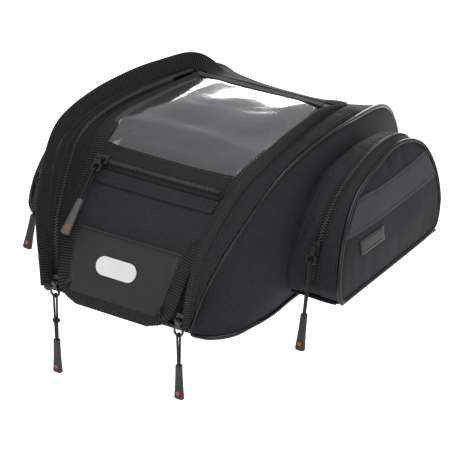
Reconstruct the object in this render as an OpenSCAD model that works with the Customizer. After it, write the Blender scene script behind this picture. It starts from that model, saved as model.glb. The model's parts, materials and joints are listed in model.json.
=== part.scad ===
// Mini tank bag: a soft domed main bag with a zipped lid, two zipped side pockets,
// a clear map window in the lid and a cord pull on each of its five zips.
// Origin at the centre of the base's underside, +Z up, front of the bag towards -Y.
// The seam lines are drawn at the nominal size and stretched to the driving dimensions.

/* [Body] */
// Width of the base
base_w = 216; // [206:1:226]
// Length of the base, front to back
base_len = 330; // [320:1:340]
// Height of the side seams at their highest point
side_h = 126; // [120:1:132]
// Thickness of the stiffened base
base_t = 4; // [3:0.5:5]
// Thickness of the foam-backed walls
wall_t = 3; // [2:0.5:3.5]
// Radius of the glossy piping in the seams
piping_r = 2; // [1.5:0.25:2.25]
// Radius of each magnet sealed in the base
magnet_r = 22; // [16:1:25]

/* [Lid and rain flap] */
// Height that the rain flap stands above its seam
flap_h = 14; // [10:1:15]
// Thickness of the folded rain flap
flap_t = 2; // [1.5:0.1:2.2]
// Thickness of the lid's fabric
lid_t = 2; // [1.5:0.1:2.5]
// Width of the woven binding round the lid
binding_w = 12.5; // [10:0.5:14]
// Thickness of each strip sewn on top of the lid
trim_t = 0.8; // [0.5:0.1:1]

/* [Pockets] */
// Distance from the centre line to the pocket's face, at its foot
pocket_x = 160; // [154:1:166]
// How strongly the face curves in towards its top
pocket_curve = 0.0016; // [0.0012:0.0001:0.0018]
// Radius of the front stretch of the pocket's zip line
pocket_r = 91; // [90:0.5:92]
// Width of the pale strip across each pocket
strip_w = 25; // [20:1:26]

/* [Zips and pulls] */
// Width of a slider
slider_w = 8; // [7:0.2:8.2]
// Length of a slider
slider_len = 13; // [11:0.5:14]
// Height of a slider over its tape
slider_h = 4.5; // [4:0.25:5]
// Radius of the zip's coil
coil_r = 1.5; // [1:0.1:1.6]
// Diameter of the pull cords
cord_d = 2; // [1.6:0.1:2.1]
// Length of a moulded rubber tab
tab_len = 33; // [26:1:36]
// Width of a rubber tab at its foot
tab_w = 9; // [7:0.5:10]

/* [Hidden] */

// Clearance between neighbouring pieces that are not sewn face to face
gap = 0.4;
stretch = [base_w / 216, base_len / 330, side_h / 126];

// Right-hand seam of the side panel, from the base's front corner over the top to the rear
seam_pts = [[71.5, -165, 5], [75, -160, 24], [79, -152, 42], [86, -140, 64], [93, -121, 86],
    [99, -98, 106], [102, -68, 120], [103, -33, 126], [101, 12, 126], [97, 54, 121],
    [92, 96, 114], [87, 126, 102], [83, 146, 84], [81, 158, 62], [80, 164, 34], [79, 166, 5]];
// Edge of the base below each point of that seam
base_pts = [[72.5, -165, 3], [85, -163, 3], [94, -157, 3], [102, -145, 3], [106, -125, 3],
    [109, -100, 3], [108, -68, 3], [108, -33, 3], [108, 12, 3], [107, 54, 3], [105, 96, 3],
    [102, 126, 3], [98, 145, 3], [93, 156, 3], [86, 162, 3], [80, 165, 3]];
// How far the left side's front corner is tucked in below its flap, point by point
left_tuck = [0, 8, 15, 16, 10, 4];
function base_line(tuck) = [for (k = [0 : len(base_pts) - 1])
    base_pts[k] - [k < len(tuck) ? tuck[k] : 0, 0, 0]];
// Foot of the rain flap, from the front corner to the rear corner of the lid
flap_pts = [[68.5, -163, 7], [71, -162, 28], [74, -161, 49], [77, -158, 68], [80.5, -149, 86],
    [85, -137, 103], [89, -119, 119], [91, -96, 127], [90.5, -64, 131], [89, -32, 132],
    [86.5, 0, 131], [83.5, 32, 128], [81, 64, 124]];
// Where the zip tape meets the lid, beside each point of the flap's foot
tape_pts = [[57, -162, 7], [60.5, -161, 28], [64.5, -156, 47], [67.5, -146, 62], [71.5, -129, 77],
    [75.5, -110, 92], [79, -94, 107], [82, -78, 116], [84, -55, 120], [84, -28, 121],
    [82, 2, 121], [78, 32, 121], [73.5, 62, 121]];
// Right-hand edge of the lid, from the foot of its tongue to its rear edge
lid_pts = [[36, -177, 5], [50, -174, 10], [57, -169, 20], [60, -163, 33], [62, -155, 48],
    [65, -146, 62], [69, -129, 77], [73, -110, 92], [76.5, -94, 107], [79.5, -78, 116],
    [81.5, -55, 120], [81.5, -28, 121], [79.5, 2, 121], [75.5, 32, 121], [71, 62, 121]];

// Lid hinge line
hinge = [0, 64, 119.5];
// Places along the lid, in points of lid_pts: the trim's two edges, the zip, the window's front
trim_from_u = 2.5;
trim_u = 4.95;
map_zip_u = 7.55;
window_u = 8.45;

// ---------- curves ----------
function stretched(p) = [p.x * stretch.x, p.y * stretch.y, p.z * stretch.z];
function unit(v) = v / norm(v);
function flipped(p) = [-p.x, p.y, p.z];
function reversed(list) = [for (k = [len(list) - 1 : -1 : 0]) list[k]];
function joined(lists) = [for (list = lists) for (item = list) item];

// Point at place u on the smooth curve through a list of points
function at(pts, u) =
    let (last = len(pts) - 1, i = min(floor(u), last - 1), t = u - i,
        a = pts[max(i - 1, 0)], b = pts[i], c = pts[i + 1], d = pts[min(i + 2, last)])
    stretched(b + (c - a) * t / 2 + (2 * a - 5 * b + 4 * c - d) * t * t / 2
        + (3 * b - a - 3 * c + d) * t * t * t / 2);
function curve(pts, from, to, steps) =
    [for (k = [0 : steps]) at(pts, from + (to - from) * k / steps)];
function tangent(c, i) = unit(c[min(i + 1, len(c) - 1)] - c[max(i - 1, 0)]);

// Grid of points from edge a to edge b, kept clear of both edges and bulging between them
function panel(a, b, gap_a, gap_b, across, bulge) =
    [for (i = [0 : len(a) - 1])
        let (d = b[i] - a[i], out = unit(cross(tangent(a, i) + tangent(b, i), d)),
            s0 = gap_a / norm(d), s1 = 1 - gap_b / norm(d))
        [for (k = [0 : across])
            let (s = s0 + (s1 - s0) * k / across) a[i] + d * s + out * 4 * bulge * s * (1 - s)]];
function normal(g, i, j) =
    unit(cross(g[min(i + 1, len(g) - 1)][j] - g[max(i - 1, 0)][j],
        g[i][min(j + 1, len(g[0]) - 1)] - g[i][max(j - 1, 0)]));
function lifted(g, h) =
    [for (i = [0 : len(g) - 1]) [for (j = [0 : len(g[0]) - 1]) g[i][j] + h * normal(g, i, j)]];

// ---------- solids made from curves ----------
function quad(a, b, c, d) = [[a, b, c], [a, c, d]];

// Fabric of thickness t behind a grid of outer points
module fabric(g, t) {
    rows = len(g);
    cols = len(g[0]);
    back = rows * cols;
    faces = joined(concat(
        [for (i = [0 : rows - 2]) for (j = [0 : cols - 2])
            let (a = i * cols + j) quad(a, a + 1, a + cols + 1, a + cols)],
        [for (i = [0 : rows - 2]) for (j = [0 : cols - 2])
            let (a = back + i * cols + j) quad(a, a + cols, a + cols + 1, a + 1)],
        [for (j = [0 : cols - 2]) quad(j + 1, j, back + j, back + j + 1)],
        [for (j = [0 : cols - 2])
            let (a = (rows - 1) * cols + j) quad(a, a + 1, back + a + 1, back + a)],
        [for (i = [0 : rows - 2])
            let (a = i * cols) quad(a, a + cols, back + a + cols, back + a)],
        [for (i = [0 : rows - 2])
            let (a = i * cols + cols - 1) quad(a + cols, a, back + a, back + a + cols)]));
    polyhedron(joined(concat(g, lifted(g, -t))), faces);
}

// Round cord along a path; hub is any point off to the side of every stretch of it
module cord_tube(path, r, sides, hub, closed = false) {
    n = len(path);
    rings = closed ? n : n - 1;
    ring_pts = [for (i = [0 : n - 1])
        let (t = unit(path[closed ? (i + 1) % n : min(i + 1, n - 1)]
                - path[closed ? (i + n - 1) % n : max(i - 1, 0)]),
            b = unit(cross(t, path[i] - hub)), a = cross(b, t))
        for (k = [0 : sides - 1])
            path[i] + r * (cos(360 * k / sides) * a + sin(360 * k / sides) * b)];
    walls = joined([for (i = [0 : rings - 1]) for (k = [0 : sides - 1])
        let (here = i * sides, next = ((i + 1) % n) * sides, k2 = (k + 1) % sides)
        quad(here + k, next + k, next + k2, here + k2)]);
    ends = closed ? [] : [[for (k = [0 : sides - 1]) k],
        [for (k = [sides - 1 : -1 : 0]) (n - 1) * sides + k]];
    polyhedron(ring_pts, concat(walls, ends));
}

module left_side() mirror([1, 0, 0]) children();

// ---------- main bag ----------
seam_last = len(seam_pts) - 1;
// Share of the seam lines where the lid ends and the rear wall begins
rear_u = 9.35;
side_hub = [60, 0, 60];

module base_panel() {
    inset = (base_len - 2 * (piping_r + gap)) / base_len;
    right = [for (p = curve(base_line([]), 0, seam_last, 40))
        [p.x - piping_r - gap, p.y * inset]];
    left = [for (p = curve(base_line(left_tuck), seam_last, 0, 40))
        [-p.x + piping_r + gap, p.y * inset]];
    color([0.07, 0.07, 0.075])
        difference() {
            linear_extrude(base_t) polygon(concat(right, left));
            for (x = [-1, 1], y = [-1, 1]) translate([x * 52, y * 90, 1])
                cylinder(r = magnet_r + 0.2, h = base_t - 2, $fn = 48);
        }
}

module base_magnets() {
    color([0.5, 0.5, 0.52])
        for (x = [-1, 1], y = [-1, 1]) translate([x * 52, y * 90, 1.1])
            cylinder(r = magnet_r, h = base_t - 2.2, $fn = 48);
}

module side_panel(tuck) {
    seam = curve(seam_pts, 1, seam_last - 1.8, 34);
    foot = curve(base_line(tuck), 1, seam_last - 1.8, 34);
    color([0.10, 0.10, 0.115])
        fabric(panel(foot, seam, piping_r + 3 * gap, piping_r + 8.5 * gap, 5, 1.5), wall_t);
}

module gusset() {
    seam = curve(seam_pts, 0.8, rear_u, 30);
    foot = curve(flap_pts, 0.6, len(flap_pts) - 1, 30);
    color([0.11, 0.11, 0.13])
        fabric(panel(seam, foot, piping_r + gap, flap_t + 2.5 * gap, 2, 1.5), wall_t - 1);
}

module front_wall() {
    half = 55 * stretch.x;
    color([0.10, 0.10, 0.115])
        translate([-half, -157 * stretch.y, base_t + gap]) cube([2 * half, wall_t, 26]);
}

module rear_wall() {
    seam = curve(seam_pts, rear_u + 0.15, seam_last - 0.1, 16);
    color([0.10, 0.10, 0.115])
        fabric(panel(seam, [for (p = seam) flipped(p)], piping_r + 3 * gap, piping_r + 3 * gap,
            6, -6), wall_t);
}

module body_piping(tuck) {
    over = curve(seam_pts, 0.15, seam_last - 0.15, 38);
    under = curve(base_line(tuck), seam_last - 0.15, 0.15, 32);
    color([0.03, 0.03, 0.03])
        cord_tube(concat(over, under), piping_r, 8, side_hub, true);
}

// Ridge of the standing flap above its foot: out of the front, then up along the top
function flap_lean(i, n) =
    let (a = 90 * min(1, 1.6 * i / n)) [0.1, -cos(a), 0.35 + 0.65 * sin(a)];
module rain_flap() {
    foot = curve(flap_pts, 0.55, len(flap_pts) - 1, 36);
    ridge = [for (i = [0 : 36]) foot[i] + flap_h * unit(flap_lean(i, 36))];
    color([0.12, 0.125, 0.11])
        fabric(lifted(panel(foot, ridge, 0, 0, 2, 0), flap_t), flap_t);
}

module rain_flap_rear() {
    half = 78 * stretch.x;
    foot = [for (k = [0 : 14]) [half - 2 * half * k / 14, 71 * stretch.y, 120.8 * stretch.z]];
    ridge = [for (p = foot)
        let (a = -22 + 92 * pow(abs(p.x) / half, 6)) p + flap_h * [0, cos(a), sin(a)]];
    color([0.12, 0.125, 0.11])
        fabric(panel(ridge, foot, 0, 0, 2, 0), flap_t);
}

// Point on the main zip's line, between the flap's foot and the edge of the tape
coil_share = 0.56;
function between(a, b) = a + coil_share * (b - a);

module main_zip() {
    foot = curve(flap_pts, 0, 12, 36);
    edge = curve(tape_pts, 0, 12, 36);
    above = lifted(panel(foot, edge, 0, 0, 1, 0), coil_r + 0.05);
    color([0.05, 0.05, 0.055]) {
        fabric(panel(foot, edge, 4 * gap, 1, 1, 0), 1);
        cord_tube([for (row = above) between(row[0], row[1])], coil_r, 6, [0, 0, 20]);
    }
}

module hinge_tape() {
    half = 68 * stretch.x;
    color([0.08, 0.08, 0.085])
        translate([-half, hinge.y - 7, hinge.z - 4.6]) cube([2 * half, 14, 1.2]);
}

// ---------- pockets ----------
pocket_c = [14, 18];
arc_steps = [174 : -14 : 104];
function arc_pt(r, a) = pocket_c + r * [cos(a), sin(a)];
// Outline of the pocket's face as (y, z): the arc at the front, then the crown and the rear
pocket_outer = concat([[-72, 15]], [for (a = arc_steps) arc_pt(pocket_r - (174 - a) / 10, a)],
    [[15, 104], [37, 108], [56, 108], [74, 103], [89, 92], [98, 70], [99, 42], [91, 16]]);
// Outline of the pocket where it is sewn to the bag's side
pocket_inner = concat([[-71, 14]], [for (a = arc_steps) arc_pt(pocket_r + 3 - (174 - a) / 8, a)],
    [[14, 102], [35, 103], [56, 102], [73, 98], [86, 87], [92, 66], [94, 42], [89, 15]]);
pocket_last = len(pocket_outer) - 1;
function face_x(z) = pocket_x - pocket_curve * z * z;
function body_x(z) = 111 - 0.045 * z;
face_edge = [for (p = pocket_outer) [face_x(p.y), p.x, p.y]];
sewn_edge = [for (p = pocket_inner) [body_x(p.y), p.x, p.y]];

// The zip's line lies in a plane that leans in by an angle: [x at the arc's centre, angle]
right_zip = [133, 0];
left_zip = [153.5, 12];
function zip_pt(zip, a) =
    [zip[0] - pocket_r * sin(a) * sin(zip[1]), pocket_c.x + pocket_r * cos(a),
        pocket_c.y + pocket_r * sin(a) * cos(zip[1])];
function zip_line(zip) = concat([[zip[0], -72, 15]], [for (a = arc_steps) zip_pt(zip, a)],
    [for (p = [[14, 112], [36, 114], [57, 112], [75, 105], [88, 90], [94, 66], [96, 42], [90, 16]])
        [zip[0] - (p.y - pocket_c.y) * sin(zip[1]), p.x,
            pocket_c.y + (p.y - pocket_c.y) * cos(zip[1])]]);

// Point at place u along the pocket's edge and share s of the way out from the bag; the
// surface passes through the zip's line at share zip_s
zip_s = 0.6;
function pocket_at(zip, u, s) =
    let (a = at(sewn_edge, u), b = at(face_edge, u),
        m = (at(zip_line(zip), u) - a * pow(1 - zip_s, 2) - b * pow(zip_s, 2))
            / (2 * zip_s * (1 - zip_s)))
    a * pow(1 - s, 2) + m * 2 * s * (1 - s) + b * pow(s, 2);
function pocket_line(zip, s, from, to, steps) =
    [for (k = [0 : steps]) pocket_at(zip, from + (to - from) * k / steps, s)];
// Shares of the gusset's width where the fixed fabric and the zip's tape end
gusset_s = 0.48;
tape_s = 0.73;

module pocket_gusset(zip) {
    color([0.10, 0.10, 0.115])
        fabric(panel(pocket_line(zip, 0, 0, pocket_last, 32),
            pocket_line(zip, gusset_s, 0, pocket_last, 32), 0, 3 * gap, 2, 1), 2);
}

module pocket_floor() {
    front = pocket_inner[0].x + 4;
    rear = pocket_inner[pocket_last].x - 4;
    color([0.09, 0.09, 0.10])
        translate([body_x(12) + 1, front, 11.5])
            cube([pocket_x - 9 - body_x(12), rear - front, 2]);
}

module pocket_zip(zip) {
    low = 0.9;
    high = pocket_last - 0.6;
    line = pocket_line(zip, zip_s, low, high, 32);
    color([0.05, 0.05, 0.055]) {
        fabric(panel(pocket_line(zip, gusset_s, low, high, 32),
            pocket_line(zip, tape_s, low, high, 32), gap, gap, 2, 0), 1);
        cord_tube([for (p = line) p + coil_r * unit([0, p.y - pocket_c.x, p.z - pocket_c.y])],
            coil_r, 6, [zip[0], pocket_c.x, pocket_c.y + 20]);
    }
}

module pocket_edge(zip) {
    color([0.10, 0.10, 0.115])
        fabric(panel(pocket_line(zip, tape_s, 0.9, pocket_last - 0.6, 32),
            pocket_line(zip, 1, 0.9, pocket_last - 0.6, 32), gap, piping_r + gap, 1, 0), 1.6);
}

module pocket_piping() {
    arc = curve(face_edge, 0, pocket_last, 38);
    foot = [for (k = [1 : 7]) arc[38] * (1 - k / 8) + arc[0] * k / 8];
    color([0.03, 0.03, 0.03])
        cord_tube(concat(arc, foot), piping_r, 8, [150, 10, 60], true);
}

module pocket_face() {
    rim = curve(face_edge, 0.25, pocket_last - 0.25, 30);
    foot = [for (k = [0 : 30]) [0, 4.9 * k - 66, 18]];
    flat = panel([for (p = foot) [face_x(p.z), p.y, p.z]], rim, 0, piping_r + 4 * gap, 6, 0);
    color([0.10, 0.10, 0.11])
        fabric([for (row = flat) [for (p = row) [face_x(p.z), p.y, p.z]]], 2);
}

// Frame on the face at a height, leaning as the face does there
module on_face(z) {
    translate([face_x(z) + 0.4, 0, z]) rotate([0, -atan(2 * pocket_curve * z), 0]) children();
}

// Band across the face whose ends follow the piping
module pocket_strip() {
    low = -strip_w / 2;
    color([0.23, 0.23, 0.25])
        on_face(78) rotate([90, 0, 90]) linear_extrude(1)
            polygon([[-57, low], [95, low], [86, -low], [-27, -low]]);
}

module pocket_tag() {
    color([0.12, 0.12, 0.12])
        on_face(53) translate([0, -42, -6]) cube([1, 38, 12]);
}

// ---------- lid ----------
lid_last = len(lid_pts) - 1;
// Grid over the lid between two places along it, inset from its side edges
function lid_grid(from, to, steps, inset, across) =
    let (right = curve(lid_pts, from, to, steps))
    panel(right, [for (p = right) flipped(p)], inset, inset, across, 0);

module lid_panel() {
    color([0.12, 0.12, 0.14])
        fabric(lid_grid(0, map_zip_u, 22, 0, 6), lid_t);
}

module lid_backing() {
    color([0.30, 0.30, 0.32])
        fabric(lid_grid(map_zip_u + 0.05, lid_last - 0.02, 20, 0, 6), lid_t);
}

module lid_trim() {
    color([0.22, 0.22, 0.225])
        fabric(lifted(lid_grid(trim_from_u, trim_u, 12, binding_w + gap, 4), trim_t + gap), trim_t);
}

module lid_badge() {
    place = at(lid_pts, 3);
    next = at(lid_pts, 3.5);
    lean = atan2(next.y - place.y, next.z - place.z);
    color([0.8, 0.8, 0.8])
        translate([0, place.y, place.z]) rotate([90 - lean, 0, 0])
            translate([-4, 6.5, 1.9]) linear_extrude(0.8) {
                square([24, 16], center = true);
                for (x = [-12, 12]) translate([x, 0]) circle(r = 8, $fn = 40);
            }
}

// The binding follows the lid's edge from the rear on one side, round the tongue, to the other
module lid_binding() {
    right = reversed(curve(lid_pts, 0.3, lid_last - 0.1, 34));
    rim = concat(right, [for (p = reversed(right)) flipped(p)]);
    inner = [for (i = [0 : len(rim) - 1])
        let (t = tangent(rim, i), side = rim[i].x > 0 ? 1 : -1,
            along = tangent(curve(lid_pts, 0.3, lid_last - 0.1, 34),
                side > 0 ? 34 - i : i - 35),
            up = unit(cross(along, [-1, 0, 0])))
        rim[i] + binding_w * unit(cross(t, up))];
    color([0.12, 0.125, 0.11])
        fabric(lifted(panel(inner, rim, 0, 0, 1, 0), 1.2 + 2 * gap), 1.2);
}

module lid_band() {
    color([0.10, 0.10, 0.10])
        fabric(lifted(lid_grid(map_zip_u - 0.85, map_zip_u - 0.35, 3, binding_w + gap, 4),
            trim_t + gap), trim_t);
}

module map_window() {
    color([0.55, 0.56, 0.6, 0.4])
        fabric(lifted(lid_grid(window_u, lid_last - 0.3, 18, binding_w + gap, 6), 2.3), 0.8);
}

module map_zip() {
    color([0.05, 0.05, 0.055]) {
        fabric(lifted(lid_grid(map_zip_u - 0.3, window_u - 0.05, 3, binding_w + gap, 4),
            trim_t + gap), trim_t);
        translate(map_zip_at + coil_r * map_out) rotate([0, 90, 0])
            cylinder(r = coil_r, h = 2 * map_half, center = true, $fn = 24);
    }
}

// ---------- zip sliders and pulls ----------
// A slider's frame has -Y out of the fabric and +Z up; its zip runs along Z, or along X
// when it lies across. A pull's frame has its origin on the slider's bar.
bar_y = -slider_h - 1.9;
hole_z = -9;
hole_r = 3.2;
rim_r = 4.9;
slider_gap = 1.8;

module slider(across = false) {
    color([0.10, 0.10, 0.10]) {
        rotate([0, across ? 90 : 0, 0]) difference() {
            translate([-slider_w / 2, -slider_h, -slider_len / 2])
                cube([slider_w, slider_h - slider_gap, slider_len]);
            translate([-coil_r - 1.2, -2 * coil_r - 0.8, -slider_len])
                cube([2 * coil_r + 2.4, 2 * coil_r + 1, 2 * slider_len]);
        }
        for (x = [-3.4, 2.2]) translate([x, bar_y - 0.9, -1.4]) cube([1.2, 3.2, 2.8]);
        translate([-2.6, bar_y, 0]) rotate([0, 90, 0]) cylinder(r = 0.8, h = 5.2, $fn = 24);
    }
}

// Metal puller: a sleeve on the slider's bar and a plate with a hole for the cord
module ring() {
    plate_t = 1.4;
    color([0.55, 0.55, 0.57]) difference() {
        union() {
            translate([-1.8, 0, 0]) rotate([0, 90, 0]) cylinder(r = 1.8, h = 3.6, $fn = 32);
            translate([-1.8, -plate_t / 2, -6]) cube([3.6, plate_t, 5]);
            translate([0, plate_t / 2, hole_z]) rotate([90, 0, 0])
                cylinder(r = rim_r, h = plate_t, $fn = 40);
        }
        translate([-3, 0, 0]) rotate([0, 90, 0]) cylinder(r = 1.15, h = 6, $fn = 32);
        translate([0, 2, hole_z]) rotate([90, 0, 0]) cylinder(r = hole_r, h = 4, $fn = 32);
    }
}

// Loop of cord round the ring's lower rim, both ends down in the tab
loop_r = 2.1;
loop_z = hole_z - 1.9 - loop_r;
strand_y = 1.15;
function strand(drop, side, steps) =
    [for (s = steps)
        [0, side * (strand_y + (loop_r - strand_y) * s), -drop * (1 - s) + loop_z * s]];
function loop_path(drop) = concat(
    [[0, strand_y, -drop - 3]], strand(drop, 1, [0 : 0.2 : 0.85]),
    [for (a = [0 : 22.5 : 180]) [0, loop_r * cos(a), loop_z + loop_r * sin(a)]],
    strand(drop, -1, [0.8 : -0.2 : -0.05]), [[0, -strand_y, -drop - 3]]);
module pull_cord(drop) {
    color([0.06, 0.06, 0.06]) cord_tube(loop_path(drop), cord_d / 2, 8, [500, 0, -20]);
}

// Moulded rubber tab, flared to its foot, with a socket for the cord's two ends
module tab(drop) {
    half = tab_w / 2;
    neck = 3;
    color([0.09, 0.09, 0.09])
        difference() {
            translate([0, 2.6, -drop - tab_len]) rotate([90, 0, 0]) linear_extrude(5.2)
                polygon([[1 - half, 0], [half - 1, 0], [half, 1.5], [neck, tab_len - 3],
                    [neck - 0.6, tab_len], [0.6 - neck, tab_len], [-neck, tab_len - 3],
                    [-half, 1.5]]);
            translate([-1.3, -2.3, -drop - 3.2]) cube([2.6, 4.6, 4]);
        }
}

// Where each slider is parked, how it leans, and how far down its tab starts
front_low = between(at(flap_pts, 0.36), at(tape_pts, 0.36));
front_high = between(at(flap_pts, 2), at(tape_pts, 2));
front_dir = unit(front_high - front_low);
front_at = front_low - [0.3, 0.6, 0];
front_lean = [-asin(front_dir.y), asin(front_dir.x)];
park_a = 155;
pocket_lean = park_a - 180;
map_slope = at(lid_pts, map_zip_u + 0.25) - at(lid_pts, map_zip_u - 0.25);
map_lean = -atan2(map_slope.y, map_slope.z);
map_out = [0, -cos(map_lean), -sin(map_lean)];
map_zip_at = [0, at(lid_pts, map_zip_u).y, at(lid_pts, map_zip_u).z] + (2 * trim_t + 0.2) * map_out;
map_half = 61;
map_park_x = -57.5;

// The pocket pulls lie against the swell of the gusset; the left one drapes outwards over it
right_drape = [-11, 0];
left_drape = [-13, -6];
ring_lean = [-22, 0];

// A pull that hangs from a leaning ring, turned about the top of its cord loop
module hung(bar, lean)
    translate(bar + loop_z * [0, -sin(ring_lean[0]), cos(ring_lean[0])])
        rotate([lean[0], lean[1], 0]) translate([0, 0, -loop_z]) children();

// Slider's frame, and the centre of its bar
module leaned(place, lean) translate(place) rotate([lean[0], lean[1], 0]) children();
function bar_of(place, lean) =
    place + [bar_y * sin(lean[0]) * sin(lean[1]), bar_y * cos(lean[0]), bar_y * sin(lean[0])
        * cos(lean[1])];
front_bar = bar_of(front_at, front_lean);
function pocket_slider_at(zip) = zip_pt(zip, park_a);
function pocket_bar(zip) = bar_of(pocket_slider_at(zip), [pocket_lean, 0]);
map_at = map_zip_at + [map_park_x, 0, 0];
map_bar = bar_of(map_at, [map_lean, 0]);
// The map zip's pull lies over the swell of the lid
map_drape = [map_lean - 2, 0];

base_panel();
base_magnets();
side_panel([]);  // side_panel_right
left_side() side_panel(left_tuck);  // side_panel_left
gusset();  // gusset_right
left_side() gusset();  // gusset_left
front_wall();
rear_wall();
body_piping([]);  // body_piping_right
left_side() body_piping(left_tuck);  // body_piping_left
rain_flap();  // rain_flap_right
left_side() rain_flap();  // rain_flap_left
rain_flap_rear();
main_zip();  // main_zip_right
left_side() main_zip();  // main_zip_left
hinge_tape();
pocket_gusset(right_zip);  // pocket_gusset_right
left_side() pocket_gusset(left_zip);  // pocket_gusset_left
pocket_floor();  // pocket_floor_right
left_side() pocket_floor();  // pocket_floor_left
pocket_zip(right_zip);  // pocket_zip_right
left_side() pocket_zip(left_zip);  // pocket_zip_left
pocket_edge(right_zip);  // pocket_edge_right
left_side() pocket_edge(left_zip);  // pocket_edge_left
pocket_face();  // pocket_face_right
left_side() pocket_face();  // pocket_face_left
pocket_piping();  // pocket_piping_right
left_side() pocket_piping();  // pocket_piping_left
pocket_strip();  // pocket_strip_right
left_side() pocket_strip();  // pocket_strip_left
pocket_tag();
lid_panel();
lid_backing();
lid_trim();
lid_badge();
lid_binding();
lid_band();
map_window();
map_zip();
leaned(front_at, front_lean) slider();  // slider_front_right
translate(front_bar) ring();  // ring_front_right
translate(front_bar) pull_cord(40);  // cord_front_right
translate(front_bar) tab(40);  // tab_front_right
left_side() leaned(front_at, front_lean) slider();  // slider_front_left
left_side() translate(front_bar) ring();  // ring_front_left
left_side() translate(front_bar) pull_cord(54);  // cord_front_left
left_side() translate(front_bar) tab(54);  // tab_front_left
leaned(pocket_slider_at(right_zip), [pocket_lean, 0]) slider();  // slider_pocket_right
leaned(pocket_bar(right_zip), ring_lean) ring();  // ring_pocket_right
hung(pocket_bar(right_zip), right_drape) pull_cord(56);  // cord_pocket_right
hung(pocket_bar(right_zip), right_drape) tab(56);  // tab_pocket_right
left_side() leaned(pocket_slider_at(left_zip), [pocket_lean, 0]) slider();  // slider_pocket_left
left_side() leaned(pocket_bar(left_zip), ring_lean) ring();  // ring_pocket_left
left_side() hung(pocket_bar(left_zip), left_drape) pull_cord(40);  // cord_pocket_left
left_side() hung(pocket_bar(left_zip), left_drape) tab(40);  // tab_pocket_left
leaned(map_at, [map_lean, 0]) slider(true);  // slider_map
leaned(map_bar, map_drape) ring();  // ring_map
leaned(map_bar, map_drape) pull_cord(40);  // cord_map
leaned(map_bar, map_drape) tab(40);  // tab_map
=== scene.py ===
"""Looks for the tank bag: soft shells, zips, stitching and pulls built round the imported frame.
All working sizes are in millimetres and are scaled to metres when a mesh is made."""
import json
import math

import bpy
import numpy as np
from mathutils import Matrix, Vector

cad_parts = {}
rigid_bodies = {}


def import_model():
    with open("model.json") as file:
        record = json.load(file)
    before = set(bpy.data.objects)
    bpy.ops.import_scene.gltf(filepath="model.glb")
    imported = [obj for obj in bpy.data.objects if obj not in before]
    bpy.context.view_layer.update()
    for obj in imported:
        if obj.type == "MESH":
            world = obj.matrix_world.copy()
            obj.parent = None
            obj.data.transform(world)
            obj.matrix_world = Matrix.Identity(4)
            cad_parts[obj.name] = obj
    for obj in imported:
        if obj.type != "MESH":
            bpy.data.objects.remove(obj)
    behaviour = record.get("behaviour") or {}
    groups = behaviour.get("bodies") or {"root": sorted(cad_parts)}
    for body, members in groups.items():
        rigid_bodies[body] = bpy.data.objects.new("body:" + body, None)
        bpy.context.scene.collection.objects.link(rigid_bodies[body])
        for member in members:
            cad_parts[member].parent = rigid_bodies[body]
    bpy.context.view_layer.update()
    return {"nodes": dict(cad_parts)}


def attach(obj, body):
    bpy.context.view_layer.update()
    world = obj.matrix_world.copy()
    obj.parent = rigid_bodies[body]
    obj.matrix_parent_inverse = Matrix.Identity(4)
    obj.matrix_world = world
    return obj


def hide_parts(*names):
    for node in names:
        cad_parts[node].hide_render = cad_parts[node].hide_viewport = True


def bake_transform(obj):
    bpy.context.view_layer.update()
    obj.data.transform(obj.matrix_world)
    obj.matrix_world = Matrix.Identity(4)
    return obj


for old in list(bpy.data.objects):
    bpy.data.objects.remove(old)
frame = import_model()
MM = 0.001
SIDES = (("right", 1), ("left", -1))

# ---------- camera and light ----------
AZIMUTH, ELEVATION, DISTANCE = math.radians(33), math.radians(26.5), 1.9417
TARGET = Vector((0.0541, -0.0863, 0.0649))
FLOOR_Z = -0.42

scene = bpy.context.scene
scene.view_settings.view_transform = "Standard"
cam = bpy.data.objects.new("camera", bpy.data.cameras.new("camera"))
scene.collection.objects.link(cam)
back = Vector((math.sin(AZIMUTH) * math.cos(ELEVATION), -math.cos(AZIMUTH) * math.cos(ELEVATION),
               math.sin(ELEVATION)))
cam.location = TARGET + back * DISTANCE
cam.rotation_euler = (-back).to_track_quat("-Z", "Y").to_euler()
cam.data.lens, cam.data.sensor_width = 186.4, 36
cam.data.clip_start, cam.data.clip_end = 0.05, 60
scene.camera = cam

world = bpy.data.worlds.new("studio")
scene.world = world
world.use_nodes = True
world.node_tree.nodes["Background"].inputs["Color"].default_value = (1, 1, 1, 1)
world.node_tree.nodes["Background"].inputs["Strength"].default_value = 0.62


LIGHT_AIM = Vector((0.02, 0.0, 0.06))


def area_light(name, place, size, power):
    data = bpy.data.lights.new(name, "AREA")
    data.shape, data.size, data.size_y, data.energy = "RECTANGLE", size[0], size[1], power
    lamp = bpy.data.objects.new(name, data)
    scene.collection.objects.link(lamp)
    lamp.location = place
    lamp.rotation_euler = (LIGHT_AIM - Vector(place)).to_track_quat("-Z", "Y").to_euler()


area_light("top_box", (0.2, 0.1, 1.6), (1.4, 1.4), 16)
area_light("back_box", (-1.0, 1.35, 0.44), (2.1, 0.36), 17)
area_light("front_box", (1.1, -1.5, 1.0), (1.2, 1.2), 10)
area_light("left_box", (-1.5, -0.7, 0.7), (0.9, 0.9), 6)


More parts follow.
